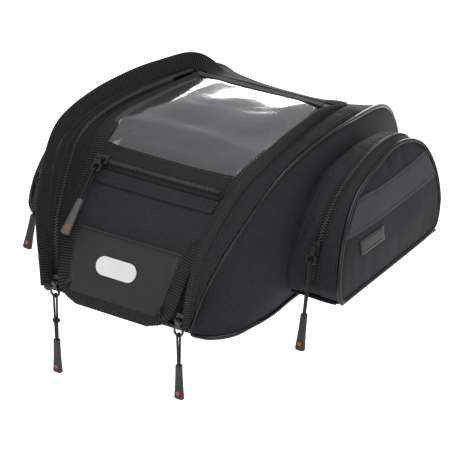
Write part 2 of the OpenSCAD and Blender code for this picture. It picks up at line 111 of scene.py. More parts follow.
# ---------- materials ----------
class Nodes:
    """Short calls for building one node material."""

    def __init__(self, name, color, roughness, **sockets):
        self.mat = bpy.data.materials.new(name)
        self.mat.use_nodes = True
        self.tree = self.mat.node_tree
        self.shader = self.tree.nodes["Principled BSDF"]
        self.set(self.shader, {"Base Color": (*color, 1), "Roughness": roughness, **sockets})

    def set(self, node, values):
        for key, value in values.items():
            node.inputs[key.replace("_", " ")].default_value = value

    def add(self, kind, links=None, props=None, **values):
        node = self.tree.nodes.new(kind)
        for key, value in (props or {}).items():
            setattr(node, key, value)
        self.set(node, values)
        for key, source in (links or {}).items():
            self.tree.links.new(source, node.inputs[key])
        return node

    def math(self, kind, a, b):
        node = self.tree.nodes.new("ShaderNodeMath")
        node.operation = kind
        for k, v in enumerate((a, b)):
            if isinstance(v, (int, float)):
                node.inputs[k].default_value = v
            else:
                self.tree.links.new(v, node.inputs[k])
        return node.outputs[0]

    def uv(self):
        """U and V of the piece in millimetres."""
        layer = self.add("ShaderNodeUVMap", props={"uv_map": "mm"})
        split = self.add("ShaderNodeSeparateXYZ", {"Vector": layer.outputs[0]})
        return split.outputs[0], split.outputs[1]

    def place(self):
        return self.add("ShaderNodeTexCoord").outputs["Object"]

    def noise(self, scale, detail=3.0, rough=0.55):
        return self.add("ShaderNodeTexNoise", {"Vector": self.place()}, Scale=scale, Detail=detail,
                        Roughness=rough).outputs[0]

    def wave(self, u, period, sharp=1.0):
        """0 to 1 ridge that repeats along u every period millimetres."""
        turn = self.math("MULTIPLY", u, 2 * math.pi / period)
        ridge = self.math("MULTIPLY_ADD", self.math("SINE", turn, 0.0), 0.5)
        ridge.node.inputs[2].default_value = 0.5
        return self.math("POWER", ridge, sharp) if sharp != 1 else ridge

    def bump(self, height, strength, distance):
        node = self.add("ShaderNodeBump", {"Height": height}, Strength=strength, Distance=distance)
        old = self.shader.inputs["Normal"]
        if old.is_linked:
            self.tree.links.new(old.links[0].from_socket, node.inputs["Normal"])
        self.tree.links.new(node.outputs[0], self.shader.inputs["Normal"])

    def tint(self, factor, low, high):
        ramp = self.add("ShaderNodeValToRGB", {"Fac": factor})
        ramp.color_ramp.elements[0].color = (*low, 1)
        ramp.color_ramp.elements[1].color = (*high, 1)
        self.tree.links.new(ramp.outputs[0], self.shader.inputs["Base Color"])
        return ramp

    def rough(self, factor, low, high):
        span = self.add("ShaderNodeMapRange", {0: factor})
        span.inputs[3].default_value, span.inputs[4].default_value = low, high
        self.tree.links.new(span.outputs[0], self.shader.inputs["Roughness"])


def grey(level, blue=0.0):
    return (level, level * (1 - 0.3 * blue), level * (1 + blue))


def woven(name, low, high, warp, weft, strength, contrast=0.4, rough=(0.62, 0.85)):
    """Plain or ribbed cloth: warp and weft threads in millimetres, worn lighter in patches."""
    m = Nodes(name, high, 0.7, Specular_IOR_Level=0.22, Sheen_Weight=0.03, Sheen_Roughness=0.5)
    u, v = m.uv()
    across = m.wave(u, warp)
    along = m.wave(v, weft)
    threads = m.math("MAXIMUM", across, along) if strength < 1 else across
    slub = m.noise(480, 2.0, 0.7)
    worn = m.noise(26, 4.0)
    spare = 1 - contrast
    mixed = m.math("ADD", m.math("MULTIPLY", threads, contrast),
                   m.math("MULTIPLY", slub, spare * 0.75))
    mixed = m.math("ADD", mixed, m.math("MULTIPLY", worn, spare * 0.25))
    ramp = m.tint(mixed, low, high)
    ramp.color_ramp.elements[0].position = 0.3
    ramp.color_ramp.elements[1].position = 0.78
    m.rough(worn, *rough)
    m.bump(threads, min(strength, 1.0), 0.00025 if strength < 1 else 0.0005)
    m.bump(slub, 0.25, 0.0003)
    m.bump(m.noise(60, 3.0), 0.22, 0.0012)
    return m.mat


def moulded(name, low, high, rough, grain, bump=0.15, **sockets):
    """Rubber, plastic or metal: slight mottling, fine grain and a smoother or duller patch."""
    m = Nodes(name, high, rough, **sockets)
    cloud = m.noise(70, 4.0)
    m.tint(cloud, low, high)
    m.rough(m.noise(130, 3.0), rough * 0.8, min(1.0, rough * 1.25))
    m.bump(m.noise(grain, 2.0), bump, 0.0002)
    return m.mat


NYLON = woven("body_nylon", grey(0.001, 0.15), grey(0.021, 0.2), 1.4, 1.4, 0.6, 0.3)
LID_CLOTH = woven("lid_ripstop", grey(0.001, 0.15), grey(0.023, 0.2), 1.6, 1.3, 0.85, 0.35)
GROSGRAIN = woven("grosgrain", grey(0.0008), grey(0.022, -0.04), 2.3, 0.5, 1.5, 0.7)
TAPE = woven("zip_tape", grey(0.001), grey(0.013, 0.1), 1.1, 0.6, 0.6)
STRIP = woven("pale_strip", grey(0.026, 0.12), grey(0.05, 0.12), 0.6, 0.6, 0.35)
BACKING = moulded("window_backing", grey(0.032, 0.06), grey(0.040, 0.07), 0.6, 300, 0.1)
TRIM = moulded("smooth_trim", grey(0.013, -0.02), grey(0.022, -0.02), 0.5, 900, 0.3,
               Specular_IOR_Level=0.3)
PIPING = moulded("piping", grey(0.003), grey(0.006), 0.24, 260, 0.1, Specular_IOR_Level=0.35)
COIL = moulded("zip_coil", grey(0.018), grey(0.04), 0.3, 900, 0.1)
METAL = moulded("black_metal", grey(0.008), grey(0.02), 0.3, 700, 0.12, Metallic=0.35,
                Coat_Weight=0.4, Coat_Roughness=0.2)
RUBBER = moulded("pull_rubber", grey(0.006), grey(0.013), 0.55, 1500, 0.35)
# paler copy of the pull rubber for the map pull's tab, which lies back facing up: a painted
# highlight
HIGHLIGHT_RUBBER = moulded("painted_highlight_rubber", grey(0.05, 0.04), grey(0.09, 0.04), 0.5, 1500, 0.35)
TAG = moulded("tag_rubber", grey(0.005), grey(0.01), 0.4, 900, 0.2)
RED = moulded("red_rubber", (0.35, 0.012, 0.012), (0.55, 0.02, 0.02), 0.5, 900, 0.2)
BADGE = moulded("badge", grey(0.55), grey(0.68), 0.35, 500, 0.1)
BASE = moulded("base_rubber", grey(0.008), grey(0.016), 0.7, 600, 0.5)
THREAD = moulded("thread", grey(0.008, 0.1), grey(0.022, 0.1), 0.5, 1600, 0.3)


def cord_material():
    m = Nodes("cord", grey(0.01), 0.6, Specular_IOR_Level=0.3)
    u, v = m.uv()
    one = m.wave(m.math("ADD", u, v), 1.3)
    two = m.wave(m.math("SUBTRACT", u, v), 1.3)
    braid = m.math("MAXIMUM", one, two)
    m.tint(braid, grey(0.004), grey(0.018))
    m.bump(braid, 0.8, 0.0003)
    return m.mat


def vinyl_material():
    """Clear soft vinyl film, faintly hazy and rippled."""
    m = Nodes("clear_vinyl", (0.93, 0.94, 0.96), 0.06, Transmission_Weight=1.0, IOR=1.5)
    m.rough(m.noise(34, 3.0), 0.03, 0.14)
    m.bump(m.noise(16, 1.0), 0.12, 0.002)
    return m.mat


CORD, VINYL = cord_material(), vinyl_material()


# ---------- curves and surfaces ----------
def unit(v):
    v = np.asarray(v, float)
    return v / np.maximum(np.linalg.norm(v, axis=-1, keepdims=True), 1e-9)


def at(pts, u):
    """Points at places u on the smooth curve through a list of points."""
    pts, u = np.asarray(pts, float), np.atleast_1d(np.asarray(u, float))
    last = len(pts) - 1
    i = np.clip(np.floor(u).astype(int), 0, last - 1)
    t = (u - i)[:, None]
    a, b = pts[np.maximum(i - 1, 0)], pts[i]
    c, d = pts[i + 1], pts[np.minimum(i + 2, last)]
    return b + (c - a) * t / 2 + (2 * a - 5 * b + 4 * c - d) * t * t / 2 \
        + (3 * b - a - 3 * c + d) * t ** 3 / 2


def curve(pts, start, end, steps):
    return at(pts, np.linspace(start, end, steps + 1))


def flip(points):
    return np.asarray(points, float) * (-1, 1, 1)


def tangents(path, closed=False):
    path = np.asarray(path, float)
    if closed:
        return unit(np.roll(path, -1, 0) - np.roll(path, 1, 0))
    return unit(np.gradient(path, axis=0))


def run_along(path):
    """Length along a path from its start to each of its points."""
    return np.concatenate([[0], np.cumsum(np.linalg.norm(np.diff(path, axis=0), axis=1))])


def panel(a, b, gap_a=0.0, gap_b=0.0, across=12, bulge=0.0):
    """Grid of points from edge a to edge b, inset from both and bulging between them."""
    d = b - a
    length = np.linalg.norm(d, axis=1)[:, None]
    out = unit(np.cross(tangents(a) + tangents(b), d))
    s0, s1 = gap_a / length, 1 - gap_b / length
    rows = [a + d * (s0 + (s1 - s0) * k) + out * 4 * bulge * (s0 + (s1 - s0) * k)
            * (1 - (s0 + (s1 - s0) * k)) for k in np.linspace(0, 1, across + 1)]
    return np.stack(rows, 1)


def normals(g):
    return unit(np.cross(np.gradient(g, axis=0), np.gradient(g, axis=1)))


def outward(g, hub):
    """The grid with its rows in the order that makes its normals point away from hub."""
    return g if np.sum(normals(g) * (g - np.asarray(hub))) > 0 else g[::-1]


def lifted(g, h):
    return g + normals(g) * (h[..., None] if isinstance(h, np.ndarray) else h)


def mesh_object(name, verts, faces, material, uvs=None):
    mesh = bpy.data.meshes.new(name)
    mesh.from_pydata((np.asarray(verts) * MM).tolist(), [], faces)
    mesh.materials.append(material)
    mesh.polygons.foreach_set("use_smooth", [True] * len(mesh.polygons))
    if uvs is not None:
        layer = mesh.uv_layers.new(name="mm")
        loops = np.zeros(len(mesh.loops), int)
        mesh.loops.foreach_get("vertex_index", loops)
        layer.data.foreach_set("uv", np.asarray(uvs, float)[loops].ravel())
    mesh.update()
    ob = bpy.data.objects.new(name, mesh)
    scene.collection.objects.link(ob)
    return ob


def finish_piece(ob, body, nodes=()):
    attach(ob, body)
    if nodes:
        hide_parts(*nodes)
    return ob


def shell_mesh(name, g, t, material, mirror=False, rim=3):
    """Cloth of thickness t behind a grid of outer points, with rounded long edges."""
    rows, cols = g.shape[:2]
    n = normals(g)
    along, across = run_along(g[:, cols // 2]), run_along(g[rows // 2])
    loop, uv = [], []
    for j in range(cols):
        loop.append(g[:, j])
        uv.append(across[j])
    side = unit(g[:, -1] - g[:, -2])
    for k in range(1, rim + 1):
        a = math.pi * k / (rim + 1)
        loop.append(g[:, -1] - n[:, -1] * t / 2 * (1 - math.cos(a)) + side * t / 2 * math.sin(a))
        uv.append(across[-1] + t / 2 * a)
    for j in reversed(range(cols)):
        loop.append(g[:, j] - n[:, j] * t)
        uv.append(across[-1] * 2 - across[j] + t)
    side = unit(g[:, 0] - g[:, 1])
    for k in range(1, rim + 1):
        a = math.pi * k / (rim + 1)
        loop.append(g[:, 0] - n[:, 0] * t / 2 * (1 + math.cos(a)) + side * t / 2 * math.sin(a))
        uv.append(-t / 2 * (math.pi - a))
    around = len(loop)
    verts = np.stack(loop, 1).reshape(-1, 3)
    uvs = np.array([(along[i], uv[k]) for i in range(rows) for k in range(around)])
    faces = []
    for i in range(rows - 1):
        for k in range(around):
            a, b = i * around + k, i * around + (k + 1) % around
            faces.append((a, a + around, b + around, b))
    faces.append(tuple(range(around)))
    faces.append(tuple((rows - 1) * around + k for k in reversed(range(around))))
    if mirror:
        verts, faces = flip(verts), [tuple(reversed(f)) for f in faces]
    return mesh_object(name, verts, faces, material, uvs)


def tube(name, path, radius, material, sides=12, closed=False, mirror=False):
    """Round cord along a path; radius may vary along it."""
    path = flip(path) if mirror else np.asarray(path, float)
    t = tangents(path, closed)
    ref = unit(np.cross(t[0], (0.3, 0.5, 0.81)))
    frames = []
    for k in range(len(path)):
        ref = unit(ref - t[k] * np.dot(ref, t[k]))
        frames.append((ref, np.cross(t[k], ref)))
    if closed:  # spread the twist that is left over the whole loop
        end = unit(ref - t[0] * np.dot(ref, t[0]))
        a0, b0 = frames[0]
        twist = math.atan2(np.dot(end, b0), np.dot(end, a0))
        turned = []
        for k, (a, b) in enumerate(frames):
            w = -twist * k / len(path)
            turned.append((a * math.cos(w) + b * math.sin(w), b * math.cos(w) - a * math.sin(w)))
        frames = turned
    r = np.broadcast_to(np.asarray(radius, float), (len(path),))
    steps = run_along(path)
    verts, uvs = [], []
    for k, (a, b) in enumerate(frames):
        for s in range(sides):
            w = 2 * math.pi * s / sides
            verts.append(path[k] + r[k] * (math.cos(w) * a + math.sin(w) * b))
            uvs.append((steps[k], r[k] * w))
    rings = len(path) if closed else len(path) - 1
    faces = []
    for k in range(rings):
        here, there = k * sides, ((k + 1) % len(path)) * sides
        for s in range(sides):
            q = (s + 1) % sides
            faces.append((here + s, here + q, there + q, there + s))
    if not closed:
        faces.append(tuple(reversed(range(sides))))
        faces.append(tuple((len(path) - 1) * sides + s for s in range(sides)))
    return mesh_object(name, verts, faces, material, uvs)


def resample(path, step):
    """Points every step along a path."""
    path = np.asarray(path, float)
    run = run_along(path)
    places = np.arange(step / 2, run[-1], step)
    return np.stack([np.interp(places, run, path[:, k]) for k in range(3)], 1)


def beads(name, centres, along, up, size, material, mirror=False):
    """Many small rounded bars in one mesh: size is (length, width, height)."""
    ring = [(math.cos(a), math.sin(a)) for a in np.arange(6) * math.pi / 3]
    verts, faces = [], []
    for c, t, n in zip(centres, along, up):
        first, b = len(verts), np.cross(n, t)
        for x, f in ((-0.5, 0.45), (-0.32, 1.0), (0.32, 1.0), (0.5, 0.45)):
            for y, z in ring:
                verts.append(c + t * x * size[0] + b * y * f * size[1] / 2
                             + n * z * f * size[2] / 2)
        for k in range(3):
            for s in range(6):
                a, b2 = first + k * 6 + s, first + k * 6 + (s + 1) % 6
                faces.append((a, b2, b2 + 6, a + 6))
        faces.append(tuple(first + s for s in reversed(range(6))))
        faces.append(tuple(first + 18 + s for s in range(6)))
    verts = np.array(verts)
    if mirror:
        verts, faces = flip(verts), [tuple(reversed(f)) for f in faces]
    return mesh_object(name, verts, faces, material)


def stitches(name, path, up, body, mirror=False, step=3.4, width=0.75):
    """A row of lockstitches lying on a surface along a path whose normals are up."""
    path, up = np.asarray(path, float), np.asarray(up, float)
    centres = resample(path, step)
    nearest = [int(np.argmin(np.linalg.norm(path - c, axis=1))) for c in centres]
    t, n = tangents(path)[nearest], unit(up[nearest])
    ob = beads(name, centres + n * 0.15, t, n, (step * 0.74, width, 0.7), THREAD, mirror)
    return finish_piece(ob, body)


TOOTH_PITCH, TOOTH = 2.5, (3.0, 1.15, 1.7)  # spacing, then length, width and height


def teeth(name, path, up, side, body, mirror=False):
    """Half of a coil zip: rounded bars that reach from the tape on one side past the middle."""
    path, up = np.asarray(path, float), np.asarray(up, float)
    centres = resample(path, TOOTH_PITCH)
    nearest = [int(np.argmin(np.linalg.norm(path - c, axis=1))) for c in centres]
    t, n = tangents(path)[nearest], unit(up[nearest])
    b = unit(np.cross(n, t))
    shift = t * (TOOTH_PITCH / 4 * side) + b * (0.75 * side) + n * 0.75
    return finish_piece(beads(name, centres + shift, b, n, TOOTH, COIL, mirror), body)


# ---------- seam lines, as in the part's source ----------
SEAM = [[71.5, -165, 5], [75, -160, 24], [79, -152, 42], [86, -140, 64], [93, -121, 86],
        [99, -98, 106], [102, -68, 120], [103, -33, 126], [101, 12, 126], [97, 54, 121],
        [92, 96, 114], [87, 126, 102], [83, 146, 84], [81, 158, 62], [80, 164, 34], [79, 166, 5]]
FOOT = [[72.5, -165, 3], [85, -163, 3], [94, -157, 3], [102, -145, 3], [106, -125, 3],
        [109, -100, 3], [108, -68, 3], [108, -33, 3], [108, 12, 3], [107, 54, 3], [105, 96, 3],
        [102, 126, 3], [98, 145, 3], [93, 156, 3], [86, 162, 3], [80, 165, 3]]
LEFT_TUCK = [0, 8, 15, 16, 10, 4]
FLAP = [[68.5, -163, 7], [71, -162, 28], [74, -161, 49], [77, -158, 68], [80.5, -149, 86],
        [85, -137, 103], [89, -119, 119], [91, -96, 127], [90.5, -64, 131], [89, -32, 132],
        [86.5, 0, 131], [83.5, 32, 128], [81, 64, 124]]
TAPE_LINE = [[57, -162, 7], [60.5, -161, 28], [64.5, -156, 47], [67.5, -146, 62],
             [71.5, -129, 77], [75.5, -110, 92], [79, -94, 107], [82, -78, 116], [84, -55, 120],
             [84, -28, 121], [82, 2, 121], [78, 32, 121], [73.5, 62, 121]]
LID = [[36, -177, 5], [50, -174, 10], [57, -169, 20], [60, -163, 33], [62, -155, 48],
       [65, -146, 62], [69, -129, 77], [73, -110, 92], [76.5, -94, 107], [79.5, -78, 116],
       [81.5, -55, 120], [81.5, -28, 121], [79.5, 2, 121], [75.5, 32, 121], [71, 62, 121]]
LAST, LID_LAST, REAR = len(SEAM) - 1, len(LID) - 1, 9.35
TRIM_TOP, MAP_ZIP, WINDOW = 4.95, 7.55, 8.45
PIPE, FLAP_H, FLAP_T, BINDING = 2.0, 14.0, 2.0, 12.5
THIN = 0.8  # zip tapes, trim and bands
RUN = 110  # steps along a long seam


def base_line(sign):
    pts = np.array(FOOT, float)
    if sign < 0:
        pts[:len(LEFT_TUCK), 0] -= LEFT_TUCK
    return pts


def rumple(g, depth, size, seed, pinned=True):
    """Soft folds across a grid, fading out at its sewn edges."""
    r = np.random.default_rng(seed)
    rows, cols = g.shape[:2]
    n, height = normals(g), np.zeros((rows, cols))
    for _ in range(7):
        d = unit(r.normal(size=3))
        height += np.sin(g @ d / size * r.uniform(3.5, 8) + r.uniform(0, 6.3)) * r.uniform(0.3, 1)
    if pinned:
        i, j = np.linspace(0, 1, rows)[:, None], np.linspace(0, 1, cols)[None]
        height *= np.clip(8 * i * (1 - i), 0, 1) * np.clip(4 * j * (1 - j), 0, 1)
    return g + n * height[..., None] * depth / 3


def billow(name, g, pressure, spare, cap):
    """Cloth simulation of one grid held at its sewn edges: spare cloth swells and puckers."""
    rows, cols = g.shape[:2]
    big = 0.01  # the solver works best on metre-sized pieces
    mesh = bpy.data.meshes.new(name + "_sim")
    mesh.from_pydata((g.reshape(-1, 3) * big).tolist(), [],
                     [(i * cols + j, (i + 1) * cols + j, (i + 1) * cols + j + 1, i * cols + j + 1)
                      for i in range(rows - 1) for j in range(cols - 1)])
    ob = bpy.data.objects.new(name + "_sim", mesh)
    scene.collection.objects.link(ob)
    pins = ob.vertex_groups.new(name="sewn")
    pins.add([i * cols + j for i in range(rows) for j in range(cols)
              if i in (0, rows - 1) or j in (0, cols - 1)], 1.0, "REPLACE")
    sim = ob.modifiers.new("cloth", "CLOTH")
    sim.settings.vertex_group_mass = "sewn"
    sim.settings.quality = 6
    sim.settings.mass = 0.25
    sim.settings.tension_stiffness = sim.settings.compression_stiffness = 12
    sim.settings.bending_stiffness = 1.2
    sim.settings.air_damping = 4
    sim.settings.shrink_min = -spare
    sim.settings.use_pressure = True
    sim.settings.uniform_pressure_force = pressure
    sim.settings.effector_weights.gravity = 0
    sim.collision_settings.use_collision = False
    sim.point_cache.frame_start, sim.point_cache.frame_end = 1, 24
    for frame_number in range(1, 25):
        scene.frame_set(frame_number)
    shape = ob.evaluated_get(bpy.context.evaluated_depsgraph_get()).to_mesh()
    moved = np.zeros(rows * cols * 3)
    shape.vertices.foreach_get("co", moved)
    moved = moved.reshape(rows, cols, 3) / big - g
    bpy.data.objects.remove(ob)
    scene.frame_set(1)
    length = np.linalg.norm(moved, axis=-1, keepdims=True)
    return g + moved * np.minimum(1, cap / np.maximum(length, 1e-6))


# ---------- pull cords ----------
LOOP, CORD_D, STRAND = 2.1, 2.0, 1.15
LOOP_Z = -13.0  # middle of the loop's round top in the pull's frame


def turned(lean, v):
    """v in a frame that leans: first about X, then about Y."""
    a, b = (math.radians(k) for k in lean)
    v = np.asarray(v, float)
    y, z = v[..., 1] * math.cos(a) - v[..., 2] * math.sin(a), \
        v[..., 1] * math.sin(a) + v[..., 2] * math.cos(a)
    return np.stack([v[..., 0] * math.cos(b) + z * math.sin(b), y,
                     -v[..., 0] * math.sin(b) + z * math.cos(b)], -1)


# name: (side, bar, lean of the ring, lean of the hanging pull, drop to the tab)
PULLS = {"front_right": (1, (62.7335, -169.205, 13.7775), (0, 0), (0, 0), 40),
         "front_left": (-1, (62.7335, -169.205, 13.7775), (0, 0), (0, 0), 54),
         "pocket_right": (1, (133, -74.2744, 59.163), (-22, 0), (-11, 0), 56),
         "pocket_left": (-1, (145.504, -74.2744, 58.3226), (-22, 0), (-13, -6), 40),
         "map": (1, (-57.5, -106.782, 106.506), (-47.4891, 0), (-47.4891, 0), 40)}
TAB_LEN, TAB_W = 33.0, 9.0


def loop_route(drop):
    """Cord's line in the pull's frame: out of the tab, round the ring's rim and back."""
    turn = [(0, LOOP * math.cos(a), LOOP_Z + LOOP * math.sin(a))
            for a in np.radians(np.arange(0, 181, 22.5))]

    def strand(side, shares):
        return [(0, side * (STRAND + (LOOP - STRAND) * s), -drop * (1 - s) + LOOP_Z * s)
                for s in shares]
    shares = (0, 0.25, 0.5, 0.75, 0.9, 0.97)  # closer near the turn, so that the curve has no cusp
    return np.array([(0, STRAND, -drop - 3), *strand(1, shares), *turn,
                     *strand(-1, shares[::-1]), (0, -STRAND, -drop - 3)])


def smooth_route(points, count):
    return at(points, np.linspace(0, len(points) - 1, count))


def set_pull(name, points):
    """Points of a pull's own frame put in place, and flipped on the left."""
    side, bar, ring_lean, lean, _ = PULLS[name]
    top = np.array((0, 0, LOOP_Z))
    placed = turned(lean, np.asarray(points) - top) + np.array(bar) + turned(ring_lean, top)
    return flip(placed) if side < 0 else placed


for name in PULLS:
    route = set_pull(name, smooth_route(loop_route(PULLS[name][-1]), 97))
    piece = tube("cord_loop_" + name, route, CORD_D / 2, CORD, sides=10)
    finish_piece(piece, "pull_" + name, ["cord_" + name])


def tab_mesh(name):
    """Moulded tab: rounded sections from a slim neck to a flared foot, with grip ribs."""
    side, drop = PULLS[name][0], PULLS[name][-1]
    rings, verts, faces, uvs = 56, [], [], []
    around = 28
    for k in range(rings):
        s = k / (rings - 1)
        z = -drop - TAB_LEN * s
        half = 2.7 + (TAB_W / 2 - 2.7) * (0.25 * s + 0.75 * s ** 1.6)
        thick = 2.45 - 0.35 * math.sin(math.pi * s)
        close = math.sqrt(max(0.0, 1 - max(0, (s - 0.94) / 0.06) ** 2)) if s > 0.94 else 1
        close *= math.sqrt(max(0.0, 1 - ((0.05 - s) / 0.05) ** 2)) * 0.35 + 0.65 if s < 0.05 else 1
        rib = 0.28 * max(0, math.sin(s * TAB_LEN * 2 * math.pi / 2.6)) if 0.42 < s < 0.74 else 0
        for q in range(around):
            a = 2 * math.pi * q / around
            c, d = math.cos(a), math.sin(a)
            x = half * math.copysign(abs(c) ** 0.45, c) * (0.4 + 0.6 * close)
            y = (thick - rib * (abs(c) < 0.8)) * math.copysign(abs(d) ** 0.55, d) \
                * (0.3 + 0.7 * close)
            verts.append((x, y, z))
            uvs.append((half * a, -z))
    for k in range(rings - 1):
        for q in range(around):
            a, b = k * around + q, k * around + (q + 1) % around
            faces.append((a, a + around, b + around, b))
    faces.append(tuple(range(around)))
    faces.append(tuple((rings - 1) * around + q for q in reversed(range(around))))
    if side < 0:
        faces = [tuple(reversed(f)) for f in faces]
    # the map pull's tab lies back facing up, and its paler rubber is a painted highlight
    material = HIGHLIGHT_RUBBER if name == "map" else RUBBER
    ob = mesh_object("tab_grip_" + name, set_pull(name, np.array(verts)), faces, material, uvs)
    finish_piece(ob, "pull_" + name, ["tab_" + name])
    # a plain raised red dot near the foot, on both faces
    verts, faces = [], []
    for face in (-1, 1):
        first = len(verts)
        verts.append((0, face * 2.75, -drop - TAB_LEN + 6.5))
        for ring_r, out in ((1.1, 2.7), (1.75, 2.5), (1.95, 2.0)):
            verts += [(ring_r * math.cos(a), face * out,
                       -drop - TAB_LEN + 6.5 + ring_r * math.sin(a))
                      for a in np.arange(20) * math.pi / 10]
        for q in range(20):
            p = (q + 1) % 20
            f = [(first, first + 1 + p, first + 1 + q)]
            for r in (1, 21):
                f.append((first + r + q, first + r + p, first + r + 20 + p, first + r + 20 + q))
            faces += f if face < 0 else [tuple(reversed(x)) for x in f]
    if side < 0:
        faces = [tuple(reversed(f)) for f in faces]
    dot = mesh_object("tab_dot_" + name, set_pull(name, np.array(verts)), faces, RED)
    finish_piece(dot, "pull_" + name)


def soften(node, material, width):
    """A CAD node that is shown as it is: its material, and edges rounded by width."""
    cad = frame["nodes"][node]
    cad.data.materials.clear()
    cad.data.materials.append(material)
    bevel = cad.modifiers.new("soft_edges", "BEVEL")
    bevel.width, bevel.segments, bevel.limit_method = width * MM, 2, "ANGLE"


def knot(name, z, size):
    """Small overhand knot on a pull's two strands."""
    t = np.linspace(0, 2 * math.pi, 60, endpoint=False)
    path = np.stack([(np.sin(t) + 2 * np.sin(2 * t)) * size / 3,
                     (np.cos(t) - 2 * np.cos(2 * t)) * size / 3,
                     -np.sin(3 * t) * size * 0.55 + z], 1)
    ob = tube("cord_knot_" + name, set_pull(name, path), 0.95, CORD, sides=8, closed=True)
    finish_piece(ob, "pull_" + name)


for name in PULLS:
    tab_mesh(name)
knot("front_left", -36, 2.9)
for name in PULLS:
    soften("slider_" + name, METAL, 0.5)
    soften("ring_" + name, METAL, 0.3)

# ---------- main bag ----------
CORNER_TUCK = (78, 75, 116.5)  # where the gusset's end is turned in
for tag, sign in SIDES:
    left = sign < 0
    seam = curve(SEAM, 0.15, LAST - 0.15, RUN)
    foot = curve(base_line(sign), 0.15, LAST - 0.15, RUN)
    g = panel(foot, seam, 0.6, 0.8, 26, 1.5)
    g = rumple(billow("side", g, 1.6, 0.004, 3.0), 0.9, 60, 11 + sign)
    ob = finish_piece(shell_mesh("side_cloth_" + tag, g, 3, NYLON, left), "bag",
                      ["side_panel_" + tag])

    # gusset between the seam piping and the rain flap, with two rows of stitching
    seam = curve(SEAM, 0.1, REAR, RUN)
    foot = curve(FLAP, 0, len(FLAP) - 1, RUN)
    g = panel(seam, foot, 1.2, 0.6, 10, 1.6)
    run = np.linspace(0, 1, RUN + 1)[:, None]
    shoulder = np.clip((run - 0.6) / 0.3, 0, 1) * (1 - np.clip((run - 0.93) / 0.07, 0, 1) ** 2)
    g = lifted(g, 5.5 * shoulder * np.sin(np.linspace(0, math.pi, 11))[None])
    g = rumple(billow("gusset", g, 1.2, 0.01, 2.2), 0.7, 40, 21 + sign)
    tail = np.linspace(at(SEAM, REAR + 0.3)[0] - (1.2, 0, 0.8), CORNER_TUCK, 11)
    g = np.concatenate([g, tail[None]])  # turned down behind the rear wall's corner
    ob = finish_piece(shell_mesh("gusset_cloth_" + tag, g, 2, NYLON, left), "bag",
                      ["gusset_" + tag])
    n = normals(g)
    stitches("gusset_stitch_" + tag, g[4:, 2], n[4:, 2], "bag", left)
    stitches("gusset_stitch_upper_" + tag, g[6:, 8], n[6:, 8], "bag", left)

    # glossy piping, closed round the side panel
    over = curve(SEAM, 0.15, LAST - 0.15, 150)
    under = curve(base_line(sign), LAST - 0.15, 0.15, 130)
    line = np.concatenate([over, under])
    wobble = 1 + 0.03 * np.sin(np.arange(len(line)) * 0.7)
    finish_piece(tube("seam_piping_" + tag, line, PIPE * wobble, PIPING, 14, True, left), "bag",
                 ["body_piping_" + tag])

    # zip between the flap and the lid: the outer half stays, the inner half goes with the lid
    foot, edge = curve(FLAP, 0, 12, 120), curve(TAPE_LINE, 0, 12, 120)
    g = panel(foot, edge, 1.6, 0.0, 8, -0.4)
    n = normals(g)
    finish_piece(shell_mesh("zip_tape_outer_" + tag, g[:, :5], THIN, TAPE, left), "bag",
                 ["main_zip_" + tag])
    tuck = curve(LID, 2, 14, 120) - np.array((2.5, 0, 0)) - n[:, -1] * 1.5
    inner = np.concatenate([g[:, 4:], tuck[:, None]], 1)  # its edge is sewn under the lid
    clear = slice(0, -9)  # the lid's half stops short of the flap that the lid swings past
    finish_piece(shell_mesh("zip_tape_lid_" + tag, inner[clear], THIN, TAPE, left), "lid")
    teeth("zip_teeth_outer_" + tag, g[:, 4], n[:, 4], -1, "bag", mirror=left)
    teeth("zip_teeth_lid_" + tag, g[clear, 4], n[clear, 4], 1, "lid", mirror=left)
    stitches("zip_tape_stitch_" + tag, g[:, 2], n[:, 2], "bag", left, 2.8, 0.55)

# rain flap: one webbing that stands along both sides of the lid and lies back behind it
side_foot = curve(FLAP, 0, len(FLAP) - 1, RUN)
tilt = np.minimum(1, 1.6 * np.linspace(0, 1, RUN + 1)) * math.pi / 2
side_lean = unit(np.stack([np.full(RUN + 1, 0.1), -np.cos(tilt), 0.35 + 0.65 * np.sin(tilt)], 1))
REAR_HALF, REAR_Y, REAR_Z, REAR_STEPS = 78.0, 71.0, 120.8, 60
x = np.linspace(REAR_HALF, -REAR_HALF, REAR_STEPS)
rear_foot = np.stack([x, np.full(REAR_STEPS, REAR_Y), np.full(REAR_STEPS, REAR_Z)], 1)
a = np.radians(-22 + 92 * (np.abs(x) / REAR_HALF) ** 6)  # flat behind, upright at the corners
rear_lean = np.stack([np.zeros(REAR_STEPS), np.cos(a), np.sin(a)], 1)
foot = np.concatenate([side_foot, rear_foot, flip(side_foot[::-1])])
lean = np.concatenate([side_lean, rear_lean, flip(side_lean[::-1])])


def eased(rows, passes, where):
    """Rows smoothed near the given places, so that a corner turns softly."""
    rows = rows.copy()
    near = np.zeros(len(rows), bool)
    for k in where:
        near[k - 9:k + 10] = True
    for _ in range(passes):
        mean = (rows[:-2] + 2 * rows[1:-1] + rows[2:]) / 4
        rows[1:-1][near[1:-1]] = mean[near[1:-1]]
    return rows


corners = (len(side_foot), len(side_foot) + len(rear_foot))
foot, lean = eased(foot, 12, corners), unit(eased(lean, 25, corners))
rise = np.linspace(0, 1, 9)[None, :, None]
# the webbing lies lower round the rear corner on the right
CORNER_DROP, CORNER_SPREAD = 11, 11.0
tall = FLAP_H - CORNER_DROP * np.exp(-((np.arange(len(foot)) - corners[0]) / CORNER_SPREAD) ** 2)
g = foot[:, None] + lean[:, None] * tall[:, None, None] * rise
g = lifted(rumple(g, 0.4, 45, 5, pinned=False), FLAP_T + 0.7)
flap = shell_mesh("rain_flap_webbing", g, FLAP_T, GROSGRAIN)
finish_piece(flap, "bag", ["rain_flap_right", "rain_flap_left", "rain_flap_rear"])
n = normals(g)
for label, row in (("low", 1), ("top", 7)):
    stitches("flap_stitch_" + label, g[:, row], n[:, row], "bag", step=3.0, width=0.6)

